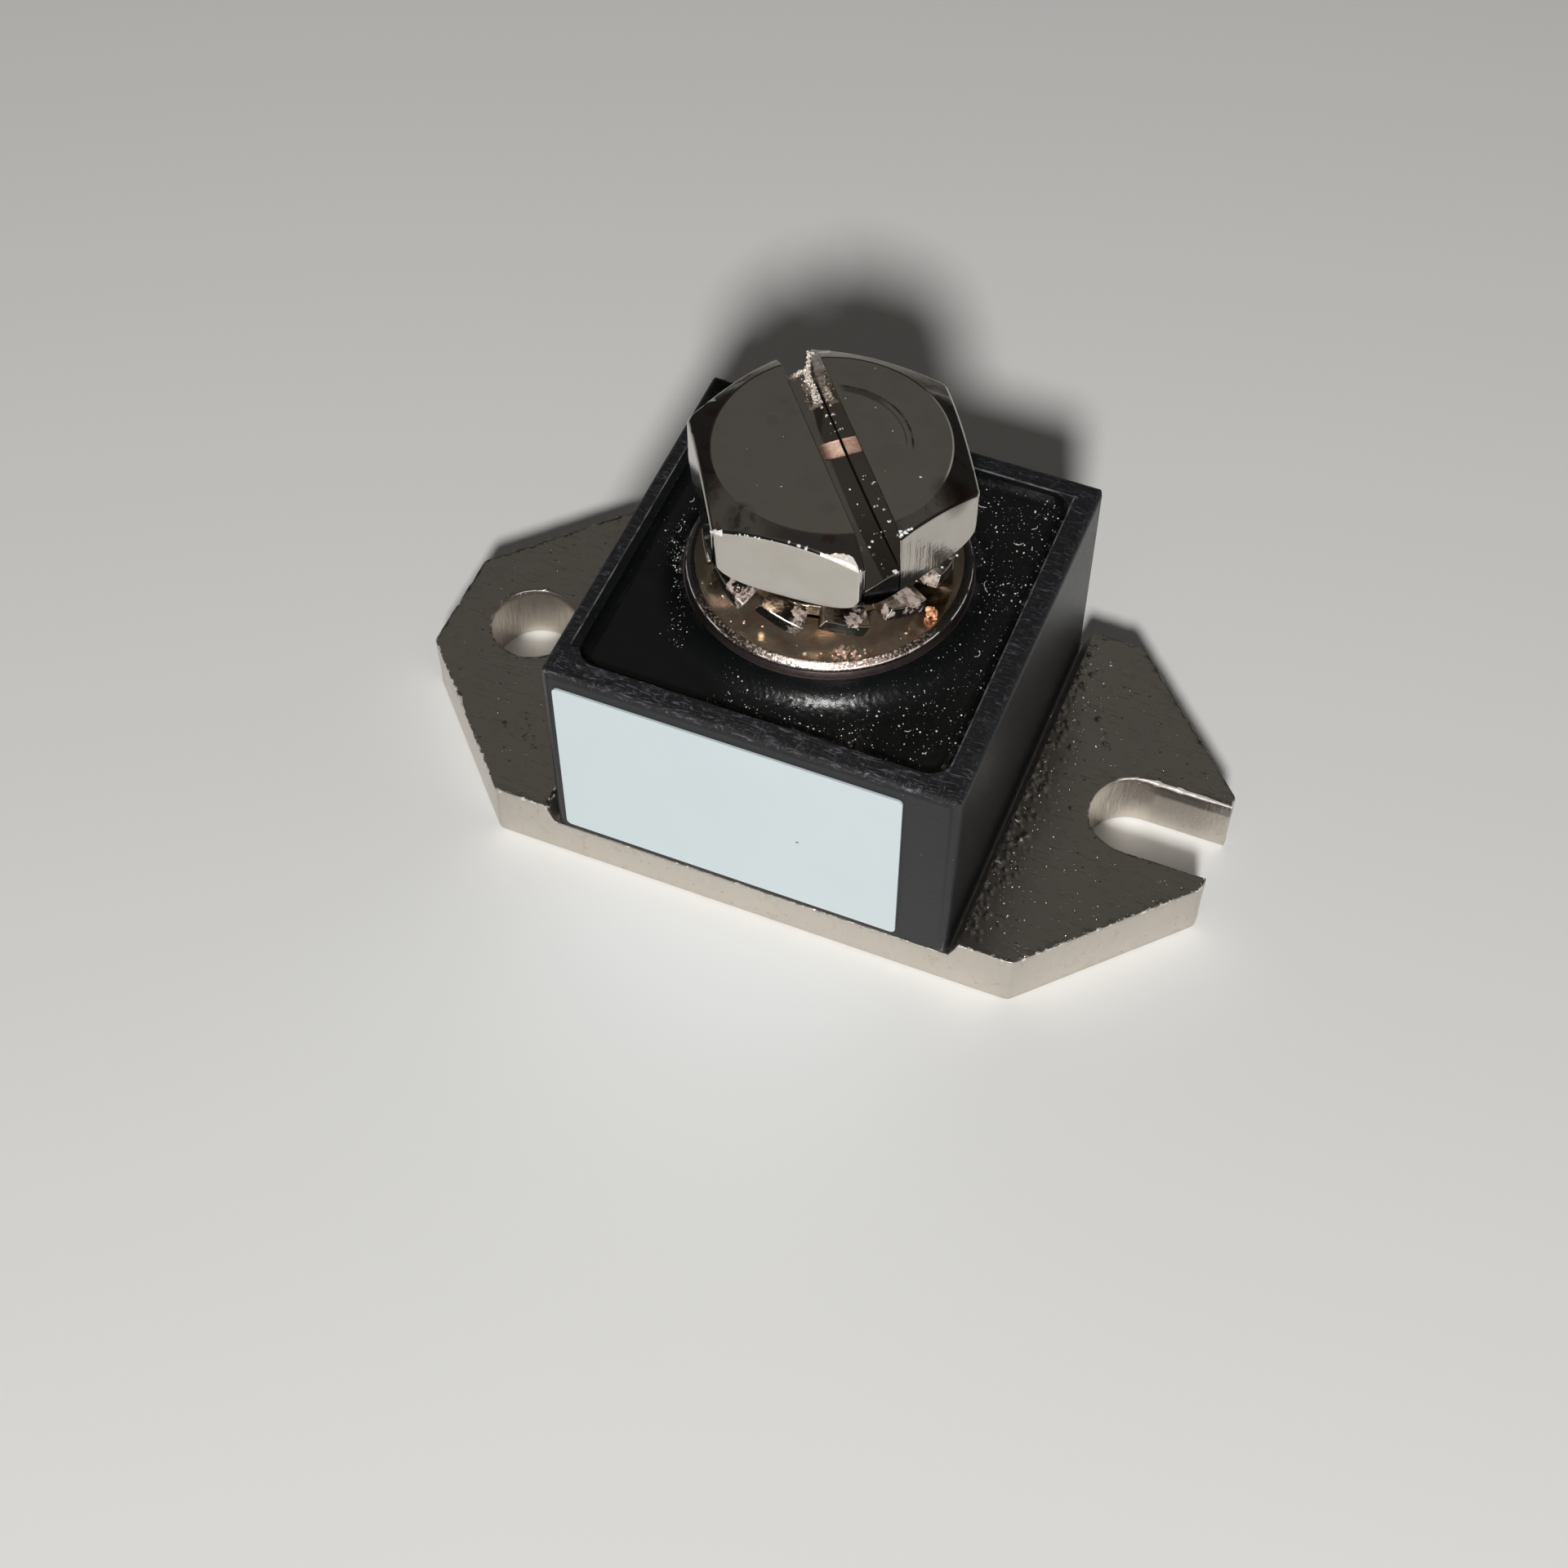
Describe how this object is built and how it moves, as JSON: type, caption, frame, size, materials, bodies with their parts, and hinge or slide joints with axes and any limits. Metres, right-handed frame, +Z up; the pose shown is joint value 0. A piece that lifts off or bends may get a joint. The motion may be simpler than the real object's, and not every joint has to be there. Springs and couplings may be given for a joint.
{
  "type": "schottky diode module",
  "caption": "Power diode module: plated base plate with hole and open slot, square potted frame, and a round top terminal with a slotted hex screw.",
  "frame": {"origin": "on the base plate's bottom face, under the terminal's axis", "axes": "+X towards the open fixing slot, -Y towards the labelled side, +Z up out of the heatsink"},
  "size_m": [0.0382, 0.0192, 0.0214],
  "materials": {
    "base_plate": "satin nickel plate over copper, pitted and specked",
    "solder": "dull soft solder",
    "silicon": "polished silicon with a metallised face",
    "molybdenum": "rolled molybdenum",
    "copper": "rolled copper",
    "terminal": "bright nickel plate with a worn rim",
    "adhesive": "cured black adhesive",
    "frame_plastic": "glass-filled black plastic, scuffed along its rim",
    "gel": "clear soft silicone gel",
    "resin": "glossy black casting resin, smooth to pebbled",
    "label_film": "satin white film, blank",
    "washer": "bright nickel plate with sheared edges",
    "screw": "bright nickel plate, mirror-like, with draw marks"
  },
  "bodies": {
    "root": {"base_plate": "base_plate", "die_solder": "solder", "schottky_die": "silicon", "upper_solder": "solder", "buffer_plate": "molybdenum", "strap_solder": "solder", "contact_strap": "copper", "terminal_solder": "solder", "terminal": "terminal", "frame_adhesive": "adhesive", "housing_frame": "frame_plastic", "silicone_gel": "gel", "potting_resin": "resin", "label": "label_film", "lock_washer": "washer", "terminal_screw": "screw"}
  },
  "joints": []
}
